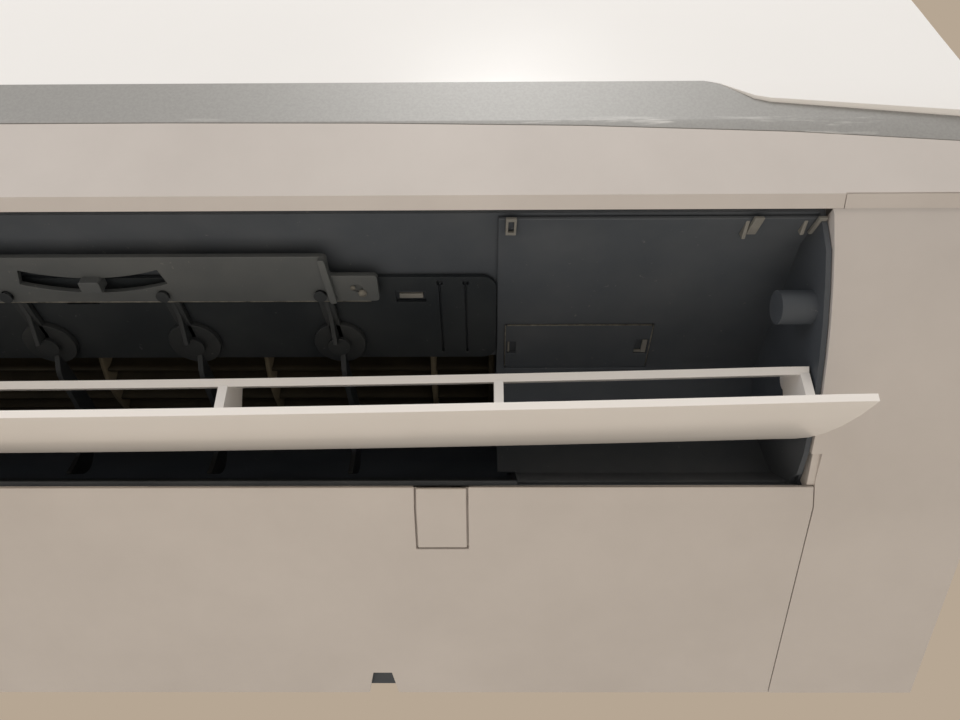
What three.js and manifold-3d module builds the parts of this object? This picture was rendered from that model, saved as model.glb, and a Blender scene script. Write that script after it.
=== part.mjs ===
// Wall-mounted mini split indoor unit, millimetres, +Z up.
// X runs along the unit, Y points into the wall, and the wall is the plane Y = 0.
// Side sections are drawn as [u, z] points: u is the distance out from the wall, z the height
// over the bottom edge of the casing. The finished group is lowered so that its origin is the
// centre of the mounting plate's back.
import * as THREE from 'three';
import { mergeVertices } from 'three/addons/utils/BufferGeometryUtils.js';
import Module from 'manifold-3d';

const wasm = await Module();
wasm.setup();

// ---------------------------------------------------------------- driving dimensions
const WIDTH = 800; // casing, end to end
const HEIGHT = 290; // casing, bottom edge to top
const GAP = 0.3; // seat clearance between touching pieces
const RUN = 0.8; // clearance round a moving piece
const SKIN = 2.4; // moulded casing wall
const THIN = 1.6; // thin moulded or sheet wall

const HALF = WIDTH / 2;
const COVER_W = 55; // end cover, seen from below
const SEAM = HALF - COVER_W; // plane of the seam beside an end cover
const OUTLET_HALF = SEAM - 3.5; // half length of the air outlet
const DUCT_WALL = 1.7; // end walls of the duct
const DUCT_HALF = OUTLET_HALF - GAP - DUCT_WALL; // inner faces of those walls

// Casing section, from the wall round under the unit to the top of the front panel.
const BOTTOM_EDGE = [1.5, 0.5];
const CREASE = [86, 29.6]; // where the underside bends up to its lip
const REAR_LIP = [91.5, 34]; // wall-side edge of the air outlet
const FRONT_LIP = [168.3, 82.5]; // front edge of the air outlet
const BAND_CREASE = [172.5, 84.2];
const BAND_TOP = [184, 109]; // the trim strip starts here
const STRIP_TOP = [188.5, 124];
const PANEL_LIP = [188.8, 126];
const PANEL_TOP = [189, HEIGHT - 3.5];
const PANEL_BELLY = [[189.5, 0.05], [191.5, 0.18], [193.6, 0.305], [196.4, 0.49], [197.6, 0.68], [197, 0.847], [194.2, 0.953]];
const PANEL_POINTS = PANEL_BELLY.map(([u, share]) => [u, PANEL_LIP[1] + share * (PANEL_TOP[1] - PANEL_LIP[1])]);

const LIP_STEP = 9.5; // the panel's lower edge drops this much near each end
const LIP_STEP_IN = HALF - 93; // where that step starts, from the middle
const LIP_STEP_RUN = 20; // and how long it is
const LIP_SAG = 7; // further fall of the edge to the very end
const STRIP_BOW = 8.5; // rise of the strip's lower edge in the middle
const STRIP_THICK = 1.8;
const LEDGE_Z = STRIP_TOP[1] + 2.5; // shelf that the filter rails stand on
const PANEL_SIDE = 4; // panel edge, in from the casing's end
const PANEL_CORNER = 12; // radius of the panel's corners
const PANEL_HINGE = [180, HEIGHT - 11]; // pins that the front panel swings on
const HINGE_R = 2;

// Mounting plate
const PLATE_W = 600;
const PLATE_H = 190;
const PLATE_BASE = 62;
const PLATE_T = 1.5;
const PLATE_HOLE_R = 3;
const MOUNT_Z = PLATE_BASE + PLATE_H / 2; // the origin's height over the casing's bottom edge
const HOOK_X = 195.5; // lower catches, and the release notches below them
const HOOK_W = 12;
const NOTCH_DEPTH = 11.7;

// Cross-flow fan
const FAN_AT = [75, 139.5];
const FAN_R = 46;
const FAN_LEFT = -SEAM + 11;
const FAN_RIGHT = SEAM - 106;
const FAN_DISC_T = 3;
const FAN_DISCS = 5; // rings that carry the blades, end plates included
const FAN_BLADES = 18;
const BLADE_T = 1.4;
const BLADE_DEPTH = 12;
const SHAFT_R = 4;
const MOTOR_R = 38;
const MOTOR_L = 56;
const MOTOR_GAP = 16; // from the fan's end plate to the motor

// Air duct
const SCROLL = [[27, 178], [17, 158], [15, 137], [18, 116], [28, 93], [44, 72]];
const DUCT_EDGE = [89.5, 38];
const TONGUE = [97, 91.4]; // where the ceiling of the outlet meets the fan
const CEILING_FRONT = [150, 91.4];
const CEILING_LIP = [165.3, 85.2];
const STABILISER = [[110.5, 104], [120.5, 116], [126, 132]];
const BOSS_AT = [139.8, 69.5]; // round bosses on the duct's end walls
const BOSS_R = 5.5;
const BOSS_L = 11;
const ACCESS_W = 54; // cover over the motor's screw
const ACCESS_L = 15.5;
const ACCESS_U = 98.4;
const CHASSIS_BACK = 3; // chassis, out from the wall
const BULKHEAD_X = FAN_RIGHT + 5; // wall between the fan and the motor bay
const ACCESS_X = BULKHEAD_X - 1.2;
const DUMMY_FACE = [[163.7, 84.1], [149.7, 89.8], [96.8, 89.8], [82.5, 85], [74.5, 68], [76, 51], [85, 41.2]];
const DUMMY_T = 1.3; // skin over the motor bay
const DUMMY_REACH = 6.5; // that skin laps past the bulkhead, towards the fan

// Louver: an arc blade with a second, inner vane on ribs
const LOUVER_AXIS = [111.9, 63.9];
const LOUVER_REAR = [92.9, 35.2]; // blade edges when closed
const LOUVER_FRONT = [167.6, 80.6];
const LOUVER_ARC_R = 161;
const LOUVER_T = 2.2;
const LOUVER_OPEN = 65.5; // degrees from closed, as it stands
const LOUVER_HALF = DUCT_HALF - RUN;
const RAIL_NEAR = [126.9, 71.8]; // edges of the inner vane when closed
const RAIL_FAR = [113.9, 65.8];
const RAIL_T = 2.6;
const RIB_PITCH = 88;
const RIB_INNER = 62;
const RIB_T = 3;
const PIN_R = 4;

// Vertical vanes under the outlet's ceiling
const VANES_PER_SIDE = 5;
const VANE_ROOM = 62.4; // from the bulkhead to the right-hand vane
const VANE_ROOM_LEFT = 35.1; // from the duct's end wall to the left-hand vane
const VANE_RUN = BULKHEAD_X - VANE_ROOM + DUCT_HALF - VANE_ROOM_LEFT;
const VANE_PITCH = VANE_RUN / (2 * VANES_PER_SIDE - 1);
const VANE_LAST = [0, VANES_PER_SIDE].map((passed) => BULKHEAD_X - VANE_ROOM - passed * VANE_PITCH);
const VANE_U = 107.8; // pivots, out from the wall
const VANE_ARM = 25.7;
const VANE_TURN = -6; // degrees, as they stand
const VANE_SWING = 30;
const VANE_T = 2;
const DISC_R = 9.5;
const BASE_T = 1.5;
const BASE_REAR = VANE_U - DISC_R;
const BASE_FRONT = VANE_U + VANE_ARM + 3.5;
const BASE_ENDS = [57.6, 25]; // how far each base plate runs past its last pivot
const BASE_START = 25;
const LINK_BACK = 3; // link bar, behind its pins and in front of them
const LINK_AHEAD = 16;
const LINK_T = 2;
const LINK_END = 14;
const LINK_TAB = [-4, 20, 11]; // tab past the bar's end: from, to (off the last pin), and width
const WINDOW_R = 84; // bowed window in the link, and the grip across it
const WINDOW_HALF = 24;
const WINDOW_W = 4.6;
const GRIP_W = 8;
const GRIP_DROP = 4;

// Underside fittings
const CAP_X = 220.3; // screw caps, from the middle
const CAP_W = 17.6;
const CAP_L = 22;
const CAP_T = 1.6;
const SCREW_R = 3.4;
const SCREW_HEAD = 1.2;
const FLOOR = [[4, 10.5], [87.4, 36.4]]; // underside of the chassis, above the panel

// Heat exchanger, filters, electrics
const COIL_T = 18;
const COIL_LEFT = FAN_LEFT;
const COIL_RIGHT = FAN_RIGHT - 3;
const COIL_FRONT = [[147, 134.3], [147, HEIGHT - 94], [88, HEIGHT - 28]];
const COIL_REAR = [[60, HEIGHT - 40], [22, 206]];
const TUBE_R = 3.5;
const GAS_PIPE = [4.8, 0.657, 11]; // radius, share of the coil's slope, depth in it
const LIQUID_PIPE = [3.2, 0.312, 12.9];
const PIPE_L = 60;
const BEND_DEPTH = 7;
const SHEET_T = 1.2; // tube sheets at the coil's ends
const FILTER_TOP = HEIGHT - 18;
const FILTER_PATH = [
  [176, 150], [181, FILTER_TOP - 72], [177, FILTER_TOP - 27], [158, FILTER_TOP - 7], [120, FILTER_TOP], [24, FILTER_TOP]];
const FILTER_T = 1.8;
const FILTER_SPLIT = [-50, -42]; // the two filters meet at this bar
const FILTERS = [['right', FILTER_SPLIT[1], BULKHEAD_X - 2], ['left', COIL_LEFT, FILTER_SPLIT[0]]];
const RAILS = [ // from x to x
  ['left', COIL_LEFT - 6, COIL_LEFT + 3], ['middle', FILTER_SPLIT[0] - 1, FILTER_SPLIT[1] + 1],
  ['right', BULKHEAD_X - 5, BULKHEAD_X + 3]];
const RAIL_DEEP = 3;
const BOX_X1 = HALF - SKIN - 3.6;
const BOX_X0 = BOX_X1 - 72;
const BOX_FRONT = 150;
const BOX_Z0 = 140;
const BOX_Z1 = HEIGHT - 28;
const BOARD_U = 14;
const GRILLE_Z = HEIGHT - 7;
const GRILLE_BARS = 9;
const GRILLE_RIBS = 9;

// ---------------------------------------------------------------- colours
const paint = (color, roughness, metalness = 0) => new THREE.MeshStandardMaterial({ color, roughness, metalness });
const white = () => paint('#e9e4dc', 0.4);
const gloss = () => paint('#f0ede8', 0.15);
const trim = () => paint('#a5a5a0', 0.3, 0.6);
const dark = () => paint('#363a3e', 0.6);
const black = () => paint('#1c1b1a', 0.6);
const steel = () => paint('#b9bcbd', 0.4, 0.8);
const fins = () => paint('#c6cbcf', 0.35, 0.8);
const copper = () => paint('#b3724a', 0.35, 0.8);
const board = () => paint('#2f6b45', 0.5);

// ---------------------------------------------------------------- solids
const TURN = Math.PI / 180;

// A closed geometry becomes a solid that can be joined and cut.
function solid(geometry) {
  const bare = geometry.index ? geometry.toNonIndexed() : geometry;
  bare.deleteAttribute('normal');
  bare.deleteAttribute('uv');
  const merged = mergeVertices(bare, 1e-4);
  return new wasm.Manifold(new wasm.Mesh({
    numProp: 3,
    vertProperties: new Float32Array(merged.attributes.position.array),
    triVerts: new Uint32Array(merged.index.array),
  }));
}

function geometryOf(body) {
  const mesh = body.getMesh();
  const geometry = new THREE.BufferGeometry();
  geometry.setAttribute('position', new THREE.BufferAttribute(new Float32Array(mesh.vertProperties), 3));
  geometry.setIndex(new THREE.BufferAttribute(new Uint32Array(mesh.triVerts), 1));
  const flat = geometry.toNonIndexed();
  flat.computeVertexNormals();
  return flat;
}

function outline(points) {
  return new THREE.Shape(points.map(([a, b]) => new THREE.Vector2(a, b)));
}

function extruded(shape, depth, basis, at) {
  const geometry = new THREE.ExtrudeGeometry(shape, { depth, bevelEnabled: false, curveSegments: 8 });
  geometry.applyMatrix4(new THREE.Matrix4().makeBasis(...basis).setPosition(...at));
  return solid(geometry);
}

const AX = new THREE.Vector3(1, 0, 0);
const AY = new THREE.Vector3(0, 1, 0);
const AZ = new THREE.Vector3(0, 0, 1);
const BACK = new THREE.Vector3(0, -1, 0);

// Section of [u, z] points, run along X from x0 to x1.
const alongX = (points, x0, x1) => extruded(outline(points.map(([u, z]) => [-u, z])), x1 - x0, [AY, AZ, AX], [x0, 0, 0]);
// Outline of [x, z] points, run out from the wall from u0 to u1.
const outward = (points, u0, u1) => extruded(outline(points), u1 - u0, [AX, AZ, BACK], [0, -u0, 0]);
// Outline of [x, u] points, run up from z0 to z1.
const upward = (points, z0, z1) => extruded(outline(points.map(([x, u]) => [x, -u])), z1 - z0, [AX, AY, AZ], [0, 0, z0]);

function block(x0, x1, u0, u1, z0, z1) {
  const geometry = new THREE.BoxGeometry(x1 - x0, u1 - u0, z1 - z0);
  geometry.translate((x0 + x1) / 2, -(u0 + u1) / 2, (z0 + z1) / 2);
  return solid(geometry);
}

// Round bar along X, Z or outward (U).
function bar(axis, radius, from, to, across, sides = 20) {
  const geometry = new THREE.CylinderGeometry(radius, radius, to - from, sides);
  const middle = (from + to) / 2;
  if (axis === 'x') geometry.rotateZ(Math.PI / 2).translate(middle, -across[0], across[1]);
  if (axis === 'z') geometry.rotateX(Math.PI / 2).translate(across[0], -across[1], middle);
  if (axis === 'u') geometry.translate(across[0], -middle, across[1]);
  return solid(geometry);
}

const join = (bodies) => bodies.reduce((whole, body) => whole.add(body));
const cut = (body, tools) => tools.reduce((whole, tool) => whole.subtract(tool), body);

// Closed section of a wall that follows a path; the wall lies on the path's left for side > 0.
function wall(path, thickness, side = 1) {
  const unit = (a, b) => {
    const length = Math.hypot(b[0] - a[0], b[1] - a[1]);
    return [(b[0] - a[0]) / length, (b[1] - a[1]) / length];
  };
  const shifted = path.map((point, i) => {
    const before = i > 0 ? unit(path[i - 1], point) : unit(point, path[i + 1]);
    const after = i < path.length - 1 ? unit(point, path[i + 1]) : before;
    const normal = [-(before[1] + after[1]), before[0] + after[0]];
    const scale = (side * thickness * 2) / (normal[0] ** 2 + normal[1] ** 2);
    return [point[0] + normal[0] * scale, point[1] + normal[1] * scale];
  });
  return [...path, ...shifted.reverse()];
}

const between = (a, b, t) => [a[0] + (b[0] - a[0]) * t, a[1] + (b[1] - a[1]) * t];
const offset = (point, du, dz) => [point[0] + du, point[1] + dz];

// Points of the arc of a given radius from a to b, bulging to the path's right.
function arcBetween(a, b, radius, steps) {
  const half = Math.hypot(b[0] - a[0], b[1] - a[1]) / 2;
  const rise = Math.sqrt(radius ** 2 - half ** 2);
  const middle = between(a, b, 0.5);
  const centre = [middle[0] - ((b[1] - a[1]) / (2 * half)) * rise, middle[1] + ((b[0] - a[0]) / (2 * half)) * rise];
  const start = Math.atan2(a[1] - centre[1], a[0] - centre[0]);
  const sweep = 2 * Math.asin(half / radius);
  return Array.from({ length: steps + 1 }, (_, i) => {
    const angle = start + (sweep * i) / steps;
    return [centre[0] + radius * Math.cos(angle), centre[1] + radius * Math.sin(angle)];
  });
}

const group = new THREE.Group();
group.position.z = -MOUNT_Z;

function piece(name, body, material, parent = group) {
  const mesh = new THREE.Mesh(geometryOf(body), material);
  mesh.name = name;
  parent.add(mesh);
  return mesh;
}

const bothSides = [['right', 1], ['left', -1]];
const mirrorX = (body, side) => (side > 0 ? body : body.mirror([1, 0, 0]));

// ---------------------------------------------------------------- casing
const belly = arcBetween(LOUVER_REAR, LOUVER_FRONT, LOUVER_ARC_R, 8);

function mountingPlate() {
  const top = PLATE_BASE + PLATE_H;
  const plate = block(-PLATE_W / 2, PLATE_W / 2, 0, PLATE_T, PLATE_BASE, top);
  const hooks = [-1, 1].map((side) => {
    const x = side * (PLATE_W / 2 - 40);
    const shelf = block(x - 20, x + 20, 0, 8, top - PLATE_T, top);
    const lip = block(x - 20, x + 20, 8 - PLATE_T, 8, top - PLATE_T, top + 8);
    return shelf.add(lip);
  });
  const catches = [-1, 1].map((side) => {
    const x = side * HOOK_X;
    const tab = block(x - HOOK_W / 2, x + HOOK_W / 2, 0, PLATE_T, PLATE_BASE - 36, PLATE_BASE + 1);
    const hook = block(x - HOOK_W / 2, x + HOOK_W / 2, 0, 7, PLATE_BASE - 36, PLATE_BASE - 36 + PLATE_T);
    return tab.add(hook);
  });
  const holes = [-1, 1].flatMap((side) => [0.2, 0.5, 0.85].flatMap((part) => [16, PLATE_H - 16].map((z) => (
    bar('u', PLATE_HOLE_R, -1, PLATE_T + 1, [(side * part * PLATE_W) / 2, PLATE_BASE + z], 12)))));
  return cut(join([plate, ...hooks, ...catches]), holes);
}

function undersidePanel() {
  const path = [BOTTOM_EDGE, CREASE, REAR_LIP];
  const body = alongX(wall(path, SKIN), -SEAM + GAP, SEAM - GAP);
  const notches = [-1, 1].map((side) => {
    const x = side * HOOK_X;
    const points = [[x - HOOK_W / 2, 0], [x + HOOK_W / 2, 0], [x + 3.5, NOTCH_DEPTH], [x - 3.5, NOTCH_DEPTH]];
    return upward(points, -5, 12);
  });
  const pockets = [-CAP_X, 0, CAP_X].map((x) => capBlank(x, -1, CAP_T + GAP, GAP));
  const holes = [-CAP_X, 0, CAP_X].map((x) => bar('z', SCREW_R + 1, 20, 40, [x, CREASE[0] - CAP_L / 3], 12));
  return cut(body, [...notches, ...pockets, ...holes]);
}

// Height of the underside panel's inner face.
function panelInside(u) {
  const slope = (CREASE[1] - BOTTOM_EDGE[1]) / (CREASE[0] - BOTTOM_EDGE[0]);
  return BOTTOM_EDGE[1] + (u - BOTTOM_EDGE[0]) * slope + SKIN * Math.hypot(1, slope);
}

// The screw cap's slab follows the underside's bend; depth is measured in from the surface.
function capBlank(x, from, to, grow) {
  const rear = CREASE[0] - CAP_L + (REAR_LIP[0] - CREASE[0]);
  const slope = (CREASE[1] - BOTTOM_EDGE[1]) / (CREASE[0] - BOTTOM_EDGE[0]);
  const path = [[rear - grow, CREASE[1] - (CREASE[0] - rear + grow) * slope], CREASE, offset(REAR_LIP, grow, grow * 0.8)];
  const shape = wall(path, to - from).map((point) => offset(point, -from * 0.35, from));
  return alongX(shape, x - CAP_W / 2 - grow, x + CAP_W / 2 + grow);
}

function screwCap(x) {
  return capBlank(x, 0, CAP_T, -GAP);
}

function casingScrew(x) {
  const u = CREASE[0] - CAP_L / 3;
  const base = panelInside(u + SCREW_R) + GAP;
  const head = bar('z', SCREW_R, base, base + SCREW_HEAD, [x, u], 12);
  return head.add(bar('z', SCREW_R / 2, base + 0.5, base + 10, [x, u], 8));
}

// End cover: closes the unit beside the outlet, below the front casing.
function endCover(side) {
  const skin = wall([BOTTOM_EDGE, CREASE, ...belly, FRONT_LIP, BAND_CREASE], SKIN);
  const under = alongX(skin, SEAM, HALF);
  const rim = [BOTTOM_EDGE, CREASE, ...belly, FRONT_LIP, BAND_CREASE, [BOTTOM_EDGE[0], BAND_CREASE[1]]];
  const outer = alongX(rim, HALF - SKIN, HALF);
  const cheek = alongX(wall([...belly.slice(1), FRONT_LIP], 7), OUTLET_HALF, SEAM + 1);
  const above = block(0, HALF + 1, 1, 200, BAND_CREASE[1], HEIGHT);
  return mirrorX(join([under, outer, cheek]).subtract(above), side);
}

function panelLowerEdge(grow) {
  const ease = (t) => t * t * (3 - 2 * t);
  const right = Array.from({ length: 5 }, (_, i) => [LIP_STEP_IN + (LIP_STEP_RUN * i) / 4, -LIP_STEP * ease(i / 4)]);
  right.push([HALF - PANEL_SIDE, -LIP_STEP - LIP_SAG]);
  const points = [...right.slice().reverse().map(([x, z]) => [-x, z]), ...right];
  return points.map(([x, z]) => [x, PANEL_LIP[1] + z + grow]);
}

function roundedTopCorners(edge, top, radius) {
  const [left, right] = [edge[0], edge[edge.length - 1]];
  const corner = (x, sign) => Array.from({ length: 5 }, (_, i) => {
    const angle = (Math.PI / 8) * i;
    return [x - sign * radius * (1 - Math.cos(angle)), top - radius * (1 - Math.sin(angle))];
  });
  return [...edge, ...corner(right[0], 1), ...corner(left[0], -1).reverse()];
}

const panelOuter = [PANEL_LIP, ...PANEL_POINTS, PANEL_TOP];

const PANEL_FOOT = [offset(PANEL_LIP, -3.4, -20), offset(PANEL_LIP, -1.4, -10)];

function panelBlank(grow) {
  const path = [...PANEL_FOOT, ...panelOuter];
  const shell = wall(path.map((point) => offset(point, grow, 0)), SKIN + 2 * grow);
  const body = alongX(shell, -HALF, HALF);
  const edge = panelLowerEdge(-grow);
  const low = edge[0][1];
  const side = HALF - PANEL_SIDE + grow;
  edge[0] = [-side + 6, low];
  edge[edge.length - 1] = [side - 6, low];
  edge.unshift([-side, low + 6]);
  edge.push([side, low + 6]);
  const top = PANEL_TOP[1] + 2 * grow;
  return body.intersect(outward(roundedTopCorners(edge, top, PANEL_CORNER), 150, 220));
}

// The panel swings up about two pins behind its top edge.
function frontPanel() {
  const lugs = [-1, 1].map((side) => {
    const x = side * (HALF - 12);
    const [u, z] = PANEL_HINGE;
    const arm = block(x - 2, x + 2, u - 3, 195, z - 3, z + 3);
    const ends = [x, side * (HALF - SKIN - 2)].sort((a, b) => a - b);
    return arm.add(bar('x', HINGE_R, ...ends, PANEL_HINGE, 16));
  });
  return join([panelBlank(0), ...lugs]);
}

// Lower edge of the strip: a long shallow bow, highest in the middle.
function stripLowerEdge(half) {
  return Array.from({ length: 13 }, (_, i) => {
    const t = i / 6 - 1;
    return [half * t, BAND_TOP[1] - STRIP_BOW * t ** 4];
  });
}

function stripBlank(thickness, half, grow, proud = 0) {
  const rise = [STRIP_TOP[0] - BAND_TOP[0], STRIP_TOP[1] - BAND_TOP[1]];
  const below = between(BAND_CREASE, BAND_TOP, 0.5);
  const above = [STRIP_TOP[0] + rise[0] * 0.2, STRIP_TOP[1] + rise[1] * 0.2];
  const face = [below, BAND_TOP, STRIP_TOP, above].map((point) => offset(point, proud, 0));
  const slab = alongX(wall(face, thickness + proud), -half, half);
  const low = stripLowerEdge(half).map(([x, z]) => [x, z - grow]);
  const high = panelLowerEdge(-GAP + grow).map(([x, z]) => [x, z]);
  high[0][0] = -half;
  high[high.length - 1][0] = half;
  return slab.intersect(outward([...low, ...high.reverse()], 150, 220));
}

const trimStrip = () => stripBlank(STRIP_THICK, HALF - 2, 0).subtract(panelBlank(GAP));

// Front casing: lower band, side walls, and the frame round the filter opening.
function frontCasing() {
  const low = [FRONT_LIP, BAND_CREASE, BAND_TOP, STRIP_TOP, offset(STRIP_TOP, 0.6, 3)];
  const band = alongX(wall(low, SKIN + STRIP_THICK + GAP), -HALF, HALF);
  const overCovers = [-1, 1].map((s) => (
    block(...[s * (SEAM - GAP), s * (HALF + 1)].sort((a, b) => a - b), 150, 190, 70, BAND_CREASE[1] + GAP)));
  const side = [
    [8, 85], [BAND_CREASE[0], 85], BAND_TOP, STRIP_TOP, offset(PANEL_LIP, -4, 6),
    ...PANEL_POINTS.slice(0, 6).map((point) => offset(point, -4, 0)),
    [186, HEIGHT - 13], [178, HEIGHT], [14, HEIGHT], [8, HEIGHT - 6],
  ];
  const sides = [[-HALF, -HALF + SKIN], [HALF - SKIN, HALF]].map(([x0, x1]) => alongX(side, x0, x1));
  const topFront = block(-HALF + 1, HALF - 1, 164, 175, HEIGHT - 12, HEIGHT - 1);
  const hingeEyes = [-1, 1].map((s) => {
    const ends = [s * (HALF - 8), s * (HALF - 1)].sort((a, b) => a - b);
    return bar('x', HINGE_R + 2.5, ...ends, PANEL_HINGE, 16);
  });
  const hingeHole = bar('x', HINGE_R + GAP, -HALF + SKIN + 0.6, HALF - SKIN - 0.6, PANEL_HINGE, 16);
  const topRear = block(-HALF + 1, HALF - 1, 8, 15, HEIGHT - 6, HEIGHT);
  const topEnds = [-1, 1].map((s) => block(...[s * (HALF - 1), s * (HALF - 26)].sort((a, b) => a - b), 10, 172, HEIGHT - 3, HEIGHT));
  const ledge = block(-HALF + 1, HALF - 1, 174, 186, STRIP_TOP[1], LEDGE_Z);
  const body = join([band, ...sides, ...hingeEyes, topFront, topRear, ...topEnds, ledge]);
  return cut(body, [...overCovers, hingeHole, panelBlank(GAP), stripBlank(STRIP_THICK + GAP, HALF - 2 + GAP, GAP, 1)]);
}

// Curved rail behind the filters' edges, from the casing's ledge up to its rear bar.
function filterRail(x0, x1) {
  const behind = FILTER_PATH.map((point) => offset(point, -GAP, 0)).slice(0, -1);
  const rear = 12;
  const top = FILTER_TOP - GAP;
  const path = [[178, LEDGE_Z + GAP], ...behind, [24, top], [rear, top], [rear, HEIGHT - 6 - GAP]];
  return alongX(wall(path, RAIL_DEEP), x0, x1);
}

function intakeGrille() {
  const x1 = HALF - 26 - GAP;
  const rear = 15 + GAP;
  const front = 164 - GAP;
  const bars = Array.from({ length: GRILLE_BARS }, (_, i) => {
    const u = rear + ((front - rear - 3) * i) / (GRILLE_BARS - 1);
    return block(-x1, x1, u, u + 3, GRILLE_Z, HEIGHT - 1);
  });
  const ribs = Array.from({ length: GRILLE_RIBS }, (_, i) => {
    const x = -x1 + 2 + ((2 * x1 - 6.4) * i) / (GRILLE_RIBS - 1);
    return block(x, x + 2.4, rear + 1, front - 1, GRILLE_Z + 0.7, HEIGHT - 1.7);
  });
  return join([...bars, ...ribs]);
}

// ---------------------------------------------------------------- chassis and duct
function rearChassis() {
  const path = [[4.2, HEIGHT - 43], ...SCROLL, DUCT_EDGE];
  const end = SEAM - GAP;
  const shell = alongX(wall(path, SKIN, -1), -end, BULKHEAD_X + 2);
  const back = block(-end, end, CHASSIS_BACK, CHASSIS_BACK + SKIN, 8, HEIGHT - 8);
  const floor = alongX(wall(FLOOR, SKIN), -end, end);
  const behind = SCROLL.map((point) => offset(point, -0.9, -0.4)).reverse();
  const endShape = [[4, 11.5], [86.5, 37.4], [88.2, 37.7], ...behind, [4.6, HEIGHT - 47], [4, HEIGHT - 47]];
  const low = [[4, 11.5], [86.5, 37.4], [88.2, 37.7], [87.6, 46], [84, 62], [72, 92], [30, 120], [4.6, 130], [4, 130]];
  const fanSide = [...SCROLL, ...DUMMY_FACE.slice(2, 5).reverse(), [110, 105], [119, 117], [123, 134], [123, 186], [100, 196], [50, 196]];
  const ends = [
    alongX(endShape, -end, -end + 3),
    alongX(fanSide, -end, -end + 3).subtract(bar('x', SHAFT_R + RUN, -HALF, 0, FAN_AT, 20)),
    alongX(low, end - 3, end),
  ];
  const hookSlots = [-1, 1].map((side) => {
    const x = side * (PLATE_W / 2 - 40);
    return block(x - 24, x + 24, 0, 12, PLATE_BASE + PLATE_H - 4, PLATE_BASE + PLATE_H + 12);
  });
  const catchSlots = [-1, 1].map((side) => block(side * HOOK_X - 9, side * HOOK_X + 9, 0, 12, PLATE_BASE - 42, PLATE_BASE - 28));
  const screwBoss = [-CAP_X, 0, CAP_X].map((x) => bar('z', 2.4, 20, 60, [x, CREASE[0] - CAP_L / 3], 12));
  return cut(join([shell, back, floor, ...ends]), [...hookSlots, ...catchSlots, ...screwBoss]);
}

// Ceiling of the outlet, the stabiliser beside the fan and the duct's two end walls.
function outletDuct() {
  const skin = wall([CEILING_LIP, CEILING_FRONT, TONGUE, ...STABILISER], SKIN, -1);
  const ceiling = alongX(skin, -DUCT_HALF - DUCT_WALL, DUCT_HALF + DUCT_WALL);
  const front = [CEILING_LIP, ...belly.slice(1, -1).reverse().map((point) => offset(point, -0.6, 1)), offset(LOUVER_REAR, 0.5, 2.6)];
  const rears = { '-1': [offset(DUCT_EDGE, 1, 3), [78, 52], [70, 92]], 1: [[88.6, 40], [48, 27.6], [48, 92]] };
  const walls = [-1, 1].map((side) => {
    const x = [side * DUCT_HALF, side * (DUCT_HALF + DUCT_WALL)].sort((a, b) => a - b);
    const plate = alongX([...front, ...rears[side], TONGUE, [110, 100], [160, 100]], ...x);
    const boss = bar('x', BOSS_R, ...[side * (DUCT_HALF + 1), side * (DUCT_HALF - BOSS_L)].sort((a, b) => a - b), BOSS_AT, 16);
    return plate.add(boss);
  });
  const pinHoles = bar('x', PIN_R + RUN, -HALF, HALF, LOUVER_AXIS, 20);
  return cut(join([ceiling, ...walls]), [pinHoles]);
}

// Tray under the heat exchanger, open upward.
function dripTray() {
  const path = [[172, 123], [166, 104], [135, 102], [128.1, 133.7]];
  const end = OUTLET_HALF - 1;
  const ends = [[-end, -end + THIN], [end - THIN, end]].map((x) => alongX(path, ...x));
  return join([alongX(wall(path, THIN, -1), -end, end), ...ends]);
}

function dummyPlate() {
  const skin = alongX(wall(DUMMY_FACE, DUMMY_T, -1), BULKHEAD_X + 2 - DUMMY_REACH, DUCT_HALF - GAP);
  const x = ACCESS_X - GAP;
  const window = block(x, x + ACCESS_W + 2 * GAP, ACCESS_U - GAP, ACCESS_U + ACCESS_L + GAP, 88, 95);
  return cut(skin, [window, block(0, BULKHEAD_X + 2 + GAP, 70, 90, 30, 52)]);
}

function accessCover() {
  const top = TONGUE[1] - GAP;
  return block(ACCESS_X, ACCESS_X + ACCESS_W, ACCESS_U, ACCESS_U + ACCESS_L, top - THIN, top);
}

// Wall between the fan and the motor bay, with a hole for the fan's hub.
const pipeAt = (share, depth) => {
  const [, low, high] = COIL_FRONT;
  const run = Math.hypot(high[0] - low[0], high[1] - low[1]);
  return offset(between(low, high, share), (-depth * (high[1] - low[1])) / run, (depth * (high[0] - low[0])) / run);
};

function bulkhead() {
  const rear = SCROLL.map((point) => offset(point, 0.8, 0.8));
  const front = DUMMY_FACE.slice(2, 6).reverse().map((point) => offset(point, -2.2, 2.4));
  const rise = STABILISER.map((point) => offset(point, -0.8, 0.3));
  const plate = alongX([...rear, ...front, ...rise, [123, 186], [100, 196], [50, 196]], BULKHEAD_X, BULKHEAD_X + 2);
  const pipes = [GAS_PIPE, LIQUID_PIPE].map(([radius, ...at]) => (
    bar('x', radius + RUN, BULKHEAD_X - 5, BULKHEAD_X + 5, pipeAt(...at), 16)));
  return cut(plate, [bar('x', 16, BULKHEAD_X - 5, BULKHEAD_X + 5, FAN_AT, 24), ...pipes]);
}

// ---------------------------------------------------------------- louver
const louverGroup = new THREE.Group();

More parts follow.
